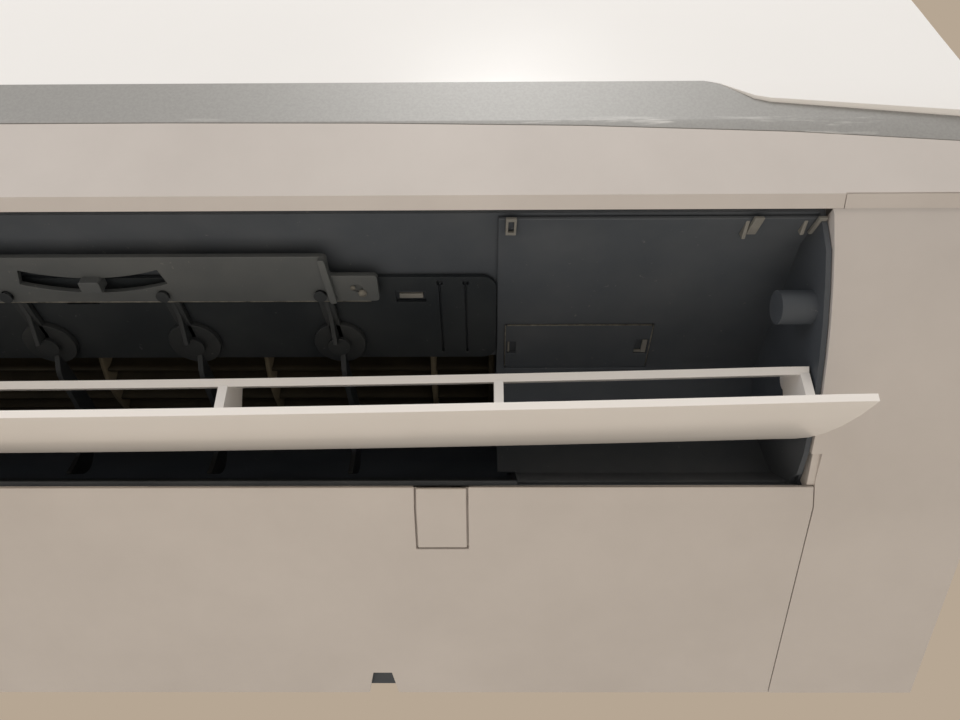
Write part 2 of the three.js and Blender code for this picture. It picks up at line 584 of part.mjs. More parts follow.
function louver() {
  const blade = alongX(wall(belly, LOUVER_T), -LOUVER_HALF, LOUVER_HALF);
  const rail = alongX(wall([RAIL_FAR, RAIL_NEAR], RAIL_T), -LOUVER_HALF, LOUVER_HALF);
  const arms = [belly[3], belly[5]].map((point) => offset(point, -0.7, 1.2));
  const ribShape = [arms[0], arms[1], offset(RAIL_NEAR, 0, 0.5), offset(RAIL_FAR, 0, 0.5)];
  const ribAt = [LOUVER_HALF - RIB_T, RIB_INNER, RIB_INNER + RIB_PITCH, RIB_INNER + 2 * RIB_PITCH];
  const ribs = ribAt.flatMap((x) => [x, -x - RIB_T]).map((x) => alongX(ribShape, x, x + RIB_T));
  const pins = [-1, 1].map((side) => {
    const ends = [side * (LOUVER_HALF - 1), side * (OUTLET_HALF + 6)].sort((a, b) => a - b);
    return bar('x', PIN_R, ...ends, LOUVER_AXIS, 20);
  });
  return join([blade, rail, ...ribs, ...pins]);
}

// ---------------------------------------------------------------- vertical vanes
const vaneZ = 88.7;

function vaneBase(last, end) {
  const first = last - VANE_PITCH * (VANES_PER_SIDE - 1);
  const x0 = first - BASE_START;
  const x1 = last + end;
  const points = [[x0, BASE_REAR], [x1, BASE_REAR], [x1, BASE_FRONT - 5], [x1 - 5, BASE_FRONT], [x0 + 5, BASE_FRONT], [x0, BASE_FRONT - 5]];
  const plate = upward(points, vaneZ + GAP, vaneZ + GAP + BASE_T);
  const holes = vanePivots(last).map((x) => bar('z', 2 + 0.4, vaneZ - 2, vaneZ + 4, [x, VANE_U], 12));
  return cut(plate, holes);
}

const vanePivots = (last) => Array.from({ length: VANES_PER_SIDE }, (_, i) => last - VANE_PITCH * i);

// One vane about its own pivot: disc, arm with its link pin, and the hanging fin.
function vane() {
  const reach = Math.hypot(LOUVER_AXIS[0] - LOUVER_REAR[0], LOUVER_AXIS[1] - LOUVER_REAR[1]) + 2 * RUN;
  const front = [161, 174, 187, 200].map((angle) => {
    const u = LOUVER_AXIS[0] - VANE_U + reach * Math.cos(angle * TURN);
    return [u / Math.cos(VANE_SWING * TURN), LOUVER_AXIS[1] + reach * Math.sin(angle * TURN)];
  });
  const [high, , , low] = front;
  const rear = [offset(low, -4.5, 2.6), offset(high, -12.4, -11.6), offset(high, -8.4, 4.4), [high[0], vaneZ - 1]];
  const finShape = [[-3, vaneZ - 1], [high[0] * 0.35, 81], [high[0] * 0.78, 78], ...front, ...rear];
  const fin = alongX(finShape, -VANE_T / 2, VANE_T / 2);
  const disc = bar('z', DISC_R, vaneZ - 2, vaneZ, [0, 0], 20);
  const arm = upward([[-2.5, 0], [-2.5, VANE_ARM + 2.5], [2.5, VANE_ARM + 2.5], [2.5, 0]], vaneZ - 2, vaneZ);
  const linkPin = bar('z', 1.5, vaneZ - 4.5, vaneZ - 1, [0, VANE_ARM], 10);
  const pivot = bar('z', 2, vaneZ - 1, vaneZ + 1.8, [0, 0], 12);
  return join([fin, disc, arm, linkPin, pivot]);
}

// Bar that joins the five arms, with a bowed window and the grip that pushes it to and fro.
function link(last) {
  const first = last - VANE_PITCH * (VANES_PER_SIDE - 1);
  const shift = VANE_ARM * Math.sin(VANE_TURN * TURN);
  const u = VANE_U + VANE_ARM * Math.cos(VANE_TURN * TURN);
  const [x0, x1] = [first + shift - LINK_END, last + shift - LINK_TAB[0]];
  const [near, far] = [u - LINK_BACK, u + LINK_AHEAD];
  const [tabEnd, tabFar] = [last + shift + LINK_TAB[1], near + LINK_TAB[2]];
  const points = [[x0, near], [tabEnd, near], [tabEnd, tabFar], [x1, tabFar], [x1, far], [x0, far]];
  const top = vaneZ - 2 - GAP;
  const plate = upward(points, top - LINK_T, top);
  const holes = vanePivots(last).map((x) => bar('z', 1.5 + 0.4, vaneZ - 8, vaneZ, [x + shift, u], 12));
  const middle = [last - 1.5 * VANE_PITCH + 2, (near + far) / 2 - 1.5];
  const grip = block(middle[0] - GRIP_W / 2, middle[0] + GRIP_W / 2, middle[1] - 3, middle[1] + 3,
    top - LINK_T - GRIP_DROP, top - 0.4);
  return cut(plate, [...holes, bowedWindow(...middle)]).add(grip);
}

function bowedWindow(x, u) {
  const sweep = Math.asin(WINDOW_HALF / WINDOW_R);
  const angles = Array.from({ length: 9 }, (_, i) => sweep * (i / 4 - 1));
  const at = (radius) => angles.map((angle) => [x + radius * Math.sin(angle), u + WINDOW_R - radius * Math.cos(angle)]);
  return upward([...at(WINDOW_R + WINDOW_W / 2), ...at(WINDOW_R - WINDOW_W / 2).reverse()], vaneZ - 8, vaneZ);
}

// ---------------------------------------------------------------- fan and motor
function crossflowFan() {
  const stations = Array.from({ length: FAN_DISCS }, (_, i) => (
    FAN_LEFT + ((FAN_RIGHT - FAN_LEFT - FAN_DISC_T) * i) / (FAN_DISCS - 1)));
  const ring = stations.map((x, i) => {
    const disc = bar('x', FAN_R, x, x + FAN_DISC_T, FAN_AT, 36);
    const inner = bar('x', FAN_R - BLADE_DEPTH - 2, x - 1, x + FAN_DISC_T + 1, FAN_AT, 24);
    return i === 0 || i === FAN_DISCS - 1 ? disc : disc.subtract(inner);
  });
  const blades = Array.from({ length: FAN_BLADES }, (_, i) => {
    const angle = (360 / FAN_BLADES) * i * TURN;
    const at = (radius, lead, t) => [
      FAN_AT[0] + radius * Math.cos(angle + lead) - t * Math.sin(angle + lead),
      FAN_AT[1] + radius * Math.sin(angle + lead) + t * Math.cos(angle + lead)];
    const outer = FAN_R - 0.6;
    const inner = FAN_R - BLADE_DEPTH;
    return alongX([at(outer, 0, 0), at(outer, 0, BLADE_T), at(inner, 0.22, BLADE_T), at(inner, 0.22, 0)],
      FAN_LEFT + 1, FAN_RIGHT - 1);
  });
  const stub = bar('x', SHAFT_R, -SEAM - 6, FAN_LEFT + 1, FAN_AT, 16);
  const hub = bar('x', 12, FAN_RIGHT - 1, FAN_RIGHT + MOTOR_GAP - 4, FAN_AT, 20);
  const bore = bar('x', SHAFT_R + 0.1, FAN_RIGHT + 3, FAN_RIGHT + MOTOR_GAP, FAN_AT, 16);
  return cut(join([...ring, ...blades, stub, hub]), [bore]);
}

function fanBearing() {
  const x = -SEAM;
  return bar('x', 13, x - 7, x, FAN_AT, 24).subtract(bar('x', SHAFT_R + 0.4, x - 8, x + 1, FAN_AT, 16));
}

function fanMotor() {
  const x = FAN_RIGHT + MOTOR_GAP;
  const can = bar('x', MOTOR_R, x, x + MOTOR_L, FAN_AT, 32);
  const collar = bar('x', 12, x - 2, x + MOTOR_L + 5, FAN_AT, 20);
  return can.add(collar);
}

function motorShaft() {
  const x = FAN_RIGHT + MOTOR_GAP;
  return bar('x', SHAFT_R - 0.2, FAN_RIGHT + 4, x - 2 - GAP, FAN_AT, 16);
}

function motorClamp() {
  const x = FAN_RIGHT + MOTOR_GAP + 14;
  const band = bar('x', MOTOR_R + 3, x, x + 22, FAN_AT, 32).subtract(bar('x', MOTOR_R + GAP, x - 1, x + 23, FAN_AT, 32));
  const foot = block(x, x + 22, CHASSIS_BACK + SKIN + GAP, 40, FAN_AT[1] - 8, FAN_AT[1] + 8);
  const bore = bar('x', MOTOR_R + GAP, x - 1, x + 23, FAN_AT, 32);
  return band.add(foot).subtract(bore);
}

// ---------------------------------------------------------------- heat exchanger
function slab(path, thickness, x0, x1) {
  return alongX(wall(path, thickness), x0, x1);
}

const coilFront = () => slab(COIL_FRONT, COIL_T, COIL_LEFT, COIL_RIGHT);
const coilRear = () => slab(COIL_REAR, COIL_T, COIL_LEFT, COIL_RIGHT);

function returnBends(side) {
  const x = side > 0 ? COIL_RIGHT + GAP : COIL_LEFT - GAP;
  const rows = [0.12, 0.3, 0.48, 0.66, 0.84];
  const paths = [COIL_FRONT, [COIL_FRONT[2], ...COIL_REAR]];
  const ends = [x, x + side * SHEET_T].sort((a, b) => a - b);
  const plate = join(paths.map((path) => alongX(wall(path, COIL_T), ...ends)));
  const bends = rows.map((t) => {
    const at = t < 0.5 ? between(COIL_FRONT[0], COIL_FRONT[1], t * 2) : between(COIL_FRONT[1], COIL_FRONT[2], t * 2 - 1);
    const reach = [x + side * 0.6, x + side * BEND_DEPTH].sort((a, b) => a - b);
    return bar('x', TUBE_R, ...reach, offset(at, -COIL_T / 2, 0), 10);
  });
  return join([plate, ...bends]);
}

const filter = (x0, x1) => alongX(wall(FILTER_PATH, FILTER_T, -1), x0, x1);

// ---------------------------------------------------------------- electrics
function electricsBox() {
  const rear = CHASSIS_BACK + SKIN + GAP;
  const outer = block(BOX_X0, BOX_X1, rear, BOX_FRONT, BOX_Z0, BOX_Z1);
  const inner = block(BOX_X0 + THIN, BOX_X1 - THIN, rear + THIN, BOX_FRONT + 2, BOX_Z0 + THIN, BOX_Z1 - THIN);
  const posts = [BOX_X0 + 12, BOX_X1 - 12].flatMap((x) => [BOX_Z0 + 12, BOX_Z1 - 12].map((z) => (
    bar('u', 3, rear + 1, BOARD_U - GAP, [x, z], 10))));
  return join([outer.subtract(inner), ...posts]);
}

const electricsCover = () => block(BOX_X0 - 1, BOX_X1 + 1, BOX_FRONT + GAP, BOX_FRONT + GAP + THIN, BOX_Z0 - 1, BOX_Z1 + 1);
const controlBoard = () => block(BOX_X0 + 6, BOX_X1 - 6, BOARD_U, BOARD_U + THIN, BOX_Z0 + 6, BOX_Z1 - 6);
const onBoard = BOARD_U + THIN + GAP;
const terminalBlock = () => block(BOX_X0 + 12, BOX_X0 + 58, onBoard, onBoard + 14, BOX_Z0 + 14, BOX_Z0 + 34);
const capacitor = () => bar('u', 9, onBoard, onBoard + 24, [BOX_X0 + 30, BOX_Z1 - 40], 16);

function louverMotor() {
  const x = OUTLET_HALF;
  const can = bar('x', 13, x + 4, x + 22, LOUVER_AXIS, 24);
  const neck = bar('x', 7, x + 1, x + 5, LOUVER_AXIS, 16);
  const bore = bar('x', PIN_R + GAP, x - 1, x + 6.5, LOUVER_AXIS, 20);
  const flange = block(x, x + 1.5, LOUVER_AXIS[0] - 18, LOUVER_AXIS[0] + 18, LOUVER_AXIS[1] - 4, LOUVER_AXIS[1] + 4);
  return join([can, neck, flange]).subtract(bore);
}

// Refrigerant line from the right-hand tube sheet, with its flare nut.
function pipe(radius, share, depth) {
  const x = COIL_RIGHT + GAP + SHEET_T + GAP;
  const at = pipeAt(share, depth);
  const tube = bar('x', radius, x, x + PIPE_L, at, 12);
  return tube.add(bar('x', radius + 3, x + PIPE_L - 12, x + PIPE_L, at, 6));
}

// ---------------------------------------------------------------- assembly
piece('mounting_plate', mountingPlate(), steel());
piece('underside_panel', undersidePanel(), white());
for (const [word, side] of bothSides) piece(`end_cover_${word}`, endCover(side), white());
piece('front_casing', frontCasing(), white());
piece('trim_strip', trimStrip(), trim());
piece('front_panel', frontPanel(), gloss());
piece('intake_grille', intakeGrille(), white());
[['left', -CAP_X], ['middle', 0], ['right', CAP_X]].forEach(([word, x]) => {
  piece(`screw_cap_${word}`, screwCap(x), white());
  piece(`casing_screw_${word}`, casingScrew(x), steel());
});
piece('rear_chassis', rearChassis(), dark());
piece('outlet_duct', outletDuct(), dark());
piece('dummy_plate', dummyPlate(), dark());
piece('access_cover', accessCover(), dark());
piece('bulkhead', bulkhead(), dark());
piece('crossflow_fan', crossflowFan(), black());
piece('motor_shaft', motorShaft(), steel());
piece('fan_bearing', fanBearing(), black());
piece('fan_motor', fanMotor(), steel());
piece('motor_clamp', motorClamp(), white());
piece('coil_front', coilFront(), fins());
piece('coil_rear', coilRear(), fins());
for (const [word, side] of bothSides) {
  piece(`return_bends_${word}`, returnBends(side), copper());
}
FILTERS.forEach(([word, x0, x1]) => piece(`air_filter_${word}`, filter(x0, x1), dark()));
RAILS.forEach(([word, x0, x1]) => piece(`filter_rail_${word}`, filterRail(x0, x1), white()));
piece('drip_tray', dripTray(), dark());
piece('gas_pipe', pipe(...GAS_PIPE), copper());
piece('liquid_pipe', pipe(...LIQUID_PIPE), copper());
piece('electrics_box', electricsBox(), white());
piece('electrics_cover', electricsCover(), steel());
piece('control_board', controlBoard(), board());
piece('terminal_block', terminalBlock(), white());
piece('capacitor', capacitor(), black());

// The louver stands open: its group turns about the hinge line.
const hinge = new THREE.Group();
hinge.position.set(0, -LOUVER_AXIS[0], LOUVER_AXIS[1]);
hinge.rotation.x = LOUVER_OPEN * TURN;
louverGroup.position.set(0, LOUVER_AXIS[0], -LOUVER_AXIS[1]);
hinge.add(louverGroup);
group.add(hinge);
piece('louver', louver(), gloss(), louverGroup);
piece('louver_motor', louverMotor(), dark());

VANE_LAST.forEach((last, set) => {
  const word = set === 0 ? 'right' : 'left';
  piece(`vane_base_${word}`, vaneBase(last, BASE_ENDS[set]), dark());
  vanePivots(last).forEach((x, i) => {
    const fin = piece(`vane_${word}_${i + 1}`, vane(), dark());
    fin.position.set(x, -VANE_U, 0);
    fin.rotation.z = VANE_TURN * TURN;
  });
  piece(`vane_link_${word}`, link(last), dark());
});

export default group;
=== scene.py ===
import math
import bmesh
import bpy
from mathutils import Matrix, Vector


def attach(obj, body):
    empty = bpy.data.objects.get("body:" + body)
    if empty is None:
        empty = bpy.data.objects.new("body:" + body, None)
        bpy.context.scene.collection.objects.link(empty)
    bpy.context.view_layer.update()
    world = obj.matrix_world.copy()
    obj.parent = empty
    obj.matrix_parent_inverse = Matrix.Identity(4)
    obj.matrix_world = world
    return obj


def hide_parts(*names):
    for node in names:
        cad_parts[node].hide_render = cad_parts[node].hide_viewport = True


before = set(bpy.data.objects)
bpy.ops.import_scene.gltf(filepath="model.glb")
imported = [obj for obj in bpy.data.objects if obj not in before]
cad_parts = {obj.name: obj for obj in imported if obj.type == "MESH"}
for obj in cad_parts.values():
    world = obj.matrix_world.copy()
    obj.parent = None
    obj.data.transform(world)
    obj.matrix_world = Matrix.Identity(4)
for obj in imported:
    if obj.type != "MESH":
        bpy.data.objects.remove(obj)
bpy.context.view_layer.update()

# ---------------------------------------------------------------- camera, light and floor
# The unit is seen from a hand's breadth below its outlet, looking up at 45 degrees with the
# short lens of a phone. One large lamp in the room lights it, with a window and the floor.
lens = bpy.data.cameras.new("camera")
film_mm, picture_px, focal_px = 36, 960, 721
lens.sensor_width = film_mm
lens.lens = film_mm * focal_px / picture_px
lens.clip_start = 0.01
camera = bpy.data.objects.new("camera", lens)
right, down, ahead = (
    (0.99997, 0.00712, 0.00301), (-0.00288, 0.70419, -0.71001), (-0.00718, 0.70998, 0.70419))
camera.matrix_world = Matrix((
    (right[0], -down[0], -ahead[0], 0.23522),
    (right[1], -down[1], -ahead[1], -0.29265),
    (right[2], -down[2], -ahead[2], -0.26250),
    (0, 0, 0, 1)))
bpy.context.scene.collection.objects.link(camera)
bpy.context.scene.camera = camera
bpy.context.scene.view_settings.view_transform = "Standard"


def srgb(code):
    """A hex colour as linear light."""
    steps = [int(code[i:i + 2], 16) / 255 for i in (1, 3, 5)]
    return [s / 12.92 if s <= 0.04045 else ((s + 0.055) / 1.055) ** 2.4 for s in steps] + [1.0]


def add(tree, kind, inputs=None, links=None, **settings):
    """Adds a node, sets its properties and sockets, and links other nodes' outputs to it."""
    node = tree.nodes.new(kind)
    for name, value in settings.items():
        setattr(node, name, value)
    for socket, value in (inputs or {}).items():
        node.inputs[socket].default_value = value
    for socket, source in (links or {}).items():
        tree.links.new(source, node.inputs[socket])
    return node


def lamp(name, place, target, size, power, colour):
    """A round soft lamp at a place, turned to a target: its width in metres and its power in watts."""
    light = bpy.data.lights.new(name, "AREA")
    light.shape = "DISK"
    light.size = size
    light.energy = power
    light.color = srgb(colour)[:3]
    holder = bpy.data.objects.new(name, light)
    holder.location = place
    holder.rotation_euler = (Vector(target) - Vector(place)).to_track_quat("-Z", "Y").to_euler()
    bpy.context.scene.collection.objects.link(holder)


lamp("room_lamp", (0.3, -2.2, 1.66), (0.1, -0.1, 0), 1.2, 45, "#fffefd")
lamp("window", (-1.9, -1.9, 0.1), (0, -0.1, 0), 1.8, 9, "#f6f7ff")
lamp("floor_bounce", (0.05, -0.3, -1.4), (0.1, -0.1, 0), 1.8, 6.0, "#fff4e9")

world = bpy.data.worlds.new("room")
bpy.context.scene.world = world
world.use_nodes = True
tree = world.node_tree
tree.nodes.clear()
path = add(tree, "ShaderNodeLightPath")
room = add(tree, "ShaderNodeBackground", {"Color": srgb("#f6f5f4"), "Strength": 0.32})
mirrored = add(tree, "ShaderNodeBackground", {"Color": srgb("#ece8e4"), "Strength": 1.0})
backdrop = add(tree, "ShaderNodeBackground", {"Color": srgb("#b6a693"), "Strength": 1.0})
shine = add(tree, "ShaderNodeMixShader", links={0: path.outputs["Is Glossy Ray"], 1: room.outputs[0],
            2: mirrored.outputs[0]})
both = add(tree, "ShaderNodeMixShader", links={0: path.outputs["Is Camera Ray"], 1: shine.outputs[0],
           2: backdrop.outputs[0]})
add(tree, "ShaderNodeOutputWorld", links={"Surface": both.outputs[0]})

ground = bmesh.new()
floor_half, floor_drop = 6, 1.6
bmesh.ops.create_grid(ground, x_segments=1, y_segments=1, size=floor_half)
bmesh.ops.translate(ground, vec=(0, 0, -floor_drop), verts=ground.verts)
floor_mesh = bpy.data.meshes.new("floor")
ground.to_mesh(floor_mesh)
floor = bpy.data.objects.new("floor", floor_mesh)
bpy.context.scene.collection.objects.link(floor)
plaster = bpy.data.materials.new("pale plaster")
plaster.use_nodes = True
shader = plaster.node_tree.nodes["Principled BSDF"]
shader.inputs["Base Color"].default_value = srgb("#e9e1d5")
shader.inputs["Roughness"].default_value = 0.9
floor_mesh.materials.append(plaster)

# ---------------------------------------------------------------- casing mouldings
# Injection-moulded ABS, 2.4 mm thick: the frame with its lower band, the underside panel and
# the two end covers. A warm white with a fine spark-eroded texture, gone slightly yellow, with
# every corner rounded by the mould.
casing_tones = ("#cec7c1", "#d7d0ca")
casing_round = 0.0009


def blank(name):
    """A new material, its node tree, its shader and the coordinates of the object that carries it."""
    material = bpy.data.materials.new(name)
    material.use_nodes = True
    tree = material.node_tree
    return material, tree, tree.nodes["Principled BSDF"], add(tree, "ShaderNodeTexCoord").outputs["Object"]


def ramp(tree, source, tones, start=0.0, end=1.0):
    """A colour that runs from one tone to the other as a value goes from start to end."""
    node = add(tree, "ShaderNodeValToRGB", links={"Fac": source})
    for stop, position, tone in zip(node.color_ramp.elements, (start, end), tones):
        stop.position, stop.color = position, srgb(tone)
    return node.outputs["Color"]


def moulded(name, tones, rough, grain_mm, grain_depth, blotch_mm=60, pale_marks=None, sheen=0.5, dusty=0.1):
    """Moulded plastic: blotches of tone, a fine grain in the surface, a film of dust and its crumbs."""
    material, tree, shader, place = blank(name)
    blotch = add(tree, "ShaderNodeTexNoise", {"Scale": 1000 / blotch_mm, "Detail": 5.0, "Roughness": 0.6},
                 {"Vector": place})
    colour = ramp(tree, blotch.outputs["Fac"], tones, 0.3, 0.7)
    grain = add(tree, "ShaderNodeTexNoise", {"Scale": 1000 / grain_mm, "Detail": 2.0}, {"Vector": place})
    if pale_marks:
        patch = add(tree, "ShaderNodeTexNoise", {"Scale": 34.0, "Detail": 3.0, "Roughness": 0.5},
                    {"Vector": place})
        film = add(tree, "ShaderNodeMapRange", {"From Min": 0.4, "From Max": 0.75, "To Max": dusty},
                   {"Value": patch.outputs["Fac"]})
        speck = add(tree, "ShaderNodeTexNoise", {"Scale": 420.0, "Detail": 3.0, "Roughness": 0.6},
                    {"Vector": place})
        crumbs = add(tree, "ShaderNodeMapRange", {"From Min": 0.69, "From Max": 0.76, "To Max": 3.5 * dusty},
                     {"Value": speck.outputs["Fac"]})
        amount = add(tree, "ShaderNodeMath", links={0: film.outputs[0], 1: crumbs.outputs[0]}, operation="ADD",
                     use_clamp=True)
        colour = add(tree, "ShaderNodeMix", {7: srgb(pale_marks)}, {0: amount.outputs[0], 6: colour},
                     data_type="RGBA").outputs[2]
    gloss = add(tree, "ShaderNodeMapRange", {"To Min": rough - 0.05, "To Max": rough + 0.05},
                {"Value": blotch.outputs["Fac"]})
    relief = add(tree, "ShaderNodeBump", {"Strength": 0.35, "Distance": grain_depth / 1000},
                 {"Height": grain.outputs["Fac"]})
    tree.links.new(colour, shader.inputs["Base Color"])
    tree.links.new(gloss.outputs[0], shader.inputs["Roughness"])
    tree.links.new(relief.outputs[0], shader.inputs["Normal"])
    shader.inputs["IOR"].default_value = 1.52
    shader.inputs["Specular IOR Level"].default_value = sheen
    return material


def keep(mesh, name, material, body, nodes, rounding=0.0005, segments=3, angle=32):
    """Makes a finished object of a mesh: rounded edges, its material, and the body it rides on."""
    shape = bpy.data.meshes.new(name)
    mesh.to_mesh(shape)
    mesh.free()
    shape.materials.append(material)
    for face in shape.polygons:
        face.use_smooth = True
    thing = bpy.data.objects.new(name, shape)
    bpy.context.scene.collection.objects.link(thing)
    if rounding:
        edge = thing.modifiers.new("rounded edges", "BEVEL")
        edge.width, edge.segments, edge.limit_method = rounding, segments, "ANGLE"
        edge.angle_limit = math.radians(angle)
        edge.use_clamp_overlap = True
        flat = thing.modifiers.new("flat faces", "WEIGHTED_NORMAL")
        flat.keep_sharp = True
    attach(thing, body)
    if nodes:
        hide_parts(*nodes)
    return thing


def drawn_from(node):
    """A clean copy of a CAD solid's mesh, with its flat faces whole again."""
    mesh = bmesh.new()
    mesh.from_mesh(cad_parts[node].data)
    bmesh.ops.remove_doubles(mesh, verts=mesh.verts, dist=2e-6)
    bmesh.ops.dissolve_limit(mesh, angle_limit=math.radians(0.4), verts=mesh.verts, edges=mesh.edges)
    bmesh.ops.dissolve_degenerate(mesh, dist=2e-6, edges=mesh.edges)
    return mesh


casing_abs = moulded("moulded ABS, warm white", casing_tones, 0.42, 0.7, 0.02)
for node, body in (
        ("front_casing", "housing"), ("underside_panel", "housing"),
        ("end_cover_right", "housing"), ("end_cover_left", "housing"),
        ("screw_cap_left", "cap_left"), ("screw_cap_middle", "cap_middle"), ("screw_cap_right", "cap_right")):
    radius = 0.0004 if node.startswith("screw") else casing_round
    keep(drawn_from(node), node + "_moulding", casing_abs, body, [node], radius)

# ---------------------------------------------------------------- front panel
# One high-gloss moulding, a shade colder and whiter than the frame, hung on two pins behind its
# top edge. Its lower lip is rounded and steps down towards both ends.
panel_tones = ("#f7f5f2", "#faf8f5")
panel_abs = moulded("polished ABS, white", panel_tones, 0.16, 9.0, 0.012, 240, sheen=0.6)
keep(drawn_from("front_panel"), "front_panel_moulding", panel_abs, "front_panel", ["front_panel"],
     0.0015, 4)

# ---------------------------------------------------------------- trim strip
# A thin ABS strip sprayed satin silver under the panel's lip. The coat has a woven pattern too
# fine to read from a step away, and pale scuffs where a cloth has rubbed its lower edge.
silver_coat, tree, shader, place = blank("satin silver paint on ABS")
weave_mm = 0.9
weave = add(tree, "ShaderNodeTexNoise", {"Scale": 1000 / weave_mm, "Detail": 2.0, "Roughness": 0.6},
            {"Vector": place})
thread = ramp(tree, weave.outputs["Fac"], ("#979693", "#9e9d9a"), 0.35, 0.65)
height = add(tree, "ShaderNodeSeparateXYZ", links={"Vector": place})
low = add(tree, "ShaderNodeMapRange", {"From Min": -0.0455, "From Max": -0.0490, "To Min": 0.0, "To Max": 1.0},
          {"Value": height.outputs["Z"]})
streak = add(tree, "ShaderNodeMapping", {"Scale": (22.0, 60.0, 260.0)}, {"Vector": place})
rub = add(tree, "ShaderNodeTexNoise", {"Scale": 1.0, "Detail": 5.0, "Roughness": 0.7},
          {"Vector": streak.outputs[0]})
scuff = add(tree, "ShaderNodeMapRange", {"From Min": 0.56, "From Max": 0.66, "To Max": 0.7},
            {"Value": rub.outputs["Fac"]})
pale = add(tree, "ShaderNodeMath", links={0: low.outputs[0], 1: scuff.outputs[0]}, operation="MULTIPLY")
coat = add(tree, "ShaderNodeMix", {7: srgb("#d5d3cf")}, {0: pale.outputs[0], 6: thread}, data_type="RGBA")
ridge = add(tree, "ShaderNodeBump", {"Strength": 0.2, "Distance": 0.00004}, {"Height": weave.outputs["Fac"]})
tree.links.new(coat.outputs[2], shader.inputs["Base Color"])
tree.links.new(ridge.outputs[0], shader.inputs["Normal"])
shader.inputs["Metallic"].default_value = 0.18
shader.inputs["Roughness"].default_value = 0.5
keep(drawn_from("trim_strip"), "silver_trim_strip", silver_coat, "housing", ["trim_strip"],
     0.0004)

# ---------------------------------------------------------------- outlet duct and chassis
# Dark blue-grey ABS left matt: the duct's ceiling and end walls, the scroll behind the fan, the
# skin over the motor bay and its access cover. Grey dust has settled on it, and pale lines run along some
# edges.
duct_abs = moulded("moulded ABS, blue-grey, dusty", ("#454a50", "#4f545a"), 0.6, 0.9, 0.03, 45, pale_marks="#8b8b89",
                   sheen=0.35)
for node in ("outlet_duct", "rear_chassis", "bulkhead", "drip_tray"):
    keep(drawn_from(node), node + "_moulding", duct_abs, "housing", [node], 0.0004)


# Pieces are drawn in millimetres along the unit, out from its back and up from its bottom edge.
bottom_up = -0.157
to_frame = Matrix(((0.001, 0, 0, 0), (0, -0.001, 0, 0), (0, 0, 0.001, bottom_up), (0, 0, 0, 1)))
lying = {"along": Matrix(((0, 0, 1, 0), (1, 0, 0, 0), (0, 1, 0, 0), (0, 0, 0, 1))),
         "out": Matrix(((1, 0, 0, 0), (0, 0, 1, 0), (0, 1, 0, 0), (0, 0, 0, 1))),
         "up": Matrix(((1, 0, 0, 0), (0, 1, 0, 0), (0, 0, 1, 0), (0, 0, 0, 1)))}


def plate(outline, start, end, facing, rounding=0.0, segments=4):
    """A flat wall of the given outline in millimetres, its corners rounded, between two planes."""
    mesh = bmesh.new()
    face = mesh.faces.new([mesh.verts.new((a, b, 0)) for a, b in outline])
    if rounding:
        bmesh.ops.bevel(mesh, geom=mesh.verts[:], offset=rounding, offset_type="OFFSET", affect="VERTICES",
                        segments=segments, profile=0.5, material=-1, clamp_overlap=True)
    raised = bmesh.ops.extrude_face_region(mesh, geom=mesh.faces[:])["geom"]
    bmesh.ops.translate(mesh, vec=(0, 0, end - start),
                        verts=[v for v in raised if isinstance(v, bmesh.types.BMVert)])
    bmesh.ops.translate(mesh, vec=(0, 0, start), verts=mesh.verts)
    bmesh.ops.transform(mesh, matrix=lying[facing], verts=mesh.verts)
    return mesh


def rod(radius, start, end, centre, facing, sides=32, tip=None):
    """A round bar or cone in millimetres between two planes, about a centre in the plane across it."""
    mesh = bmesh.new()
    bmesh.ops.create_cone(mesh, cap_ends=True, segments=sides, radius1=radius,
                          radius2=radius if tip is None else tip, depth=end - start)
    bmesh.ops.translate(mesh, vec=(centre[0], centre[1], (start + end) / 2), verts=mesh.verts)
    bmesh.ops.transform(mesh, matrix=lying[facing], verts=mesh.verts)
    return mesh


def brick(along, out, up):
    """A box from its three pairs of limits in millimetres."""
    mesh = bmesh.new()
    bmesh.ops.create_cube(mesh, size=1)
    bmesh.ops.scale(mesh, vec=[b - a for a, b in (along, out, up)], verts=mesh.verts)
    bmesh.ops.translate(mesh, vec=[(a + b) / 2 for a, b in (along, out, up)], verts=mesh.verts)
    return mesh


def together(meshes):
    """Puts several parts of one moulding in one mesh."""
    whole = bmesh.new()
    for part in meshes:
        held = bpy.data.meshes.new("part")
        part.to_mesh(held)
        part.free()
        whole.from_mesh(held)
        bpy.data.meshes.remove(held)
    return whole


def pierced(mesh, tools):
    """Cuts openings in a moulding."""
    holders = []
    for part in (mesh, together(tools)):
        bmesh.ops.recalc_face_normals(part, faces=part.faces)
        shape = bpy.data.meshes.new("blank")
        part.to_mesh(shape)
        part.free()
        holders.append(bpy.data.objects.new("blank", shape))
        bpy.context.scene.collection.objects.link(holders[-1])
    saw = holders[0].modifiers.new("openings", "BOOLEAN")
    saw.object, saw.operation, saw.solver = holders[1], "DIFFERENCE", "EXACT"
    bpy.context.view_layer.update()
    cut = bmesh.new()
    cut.from_mesh(holders[0].evaluated_get(bpy.context.evaluated_depsgraph_get()).data)
    for holder in holders:
        shape = holder.data
        bpy.data.objects.remove(holder)
        bpy.data.meshes.remove(shape)
    return cut


def settled(mesh):
    """Takes a moulding from drawing millimetres to its place in the frame."""
    bmesh.ops.transform(mesh, matrix=to_frame, verts=mesh.verts)
    bmesh.ops.recalc_face_normals(mesh, faces=mesh.faces)
    return mesh


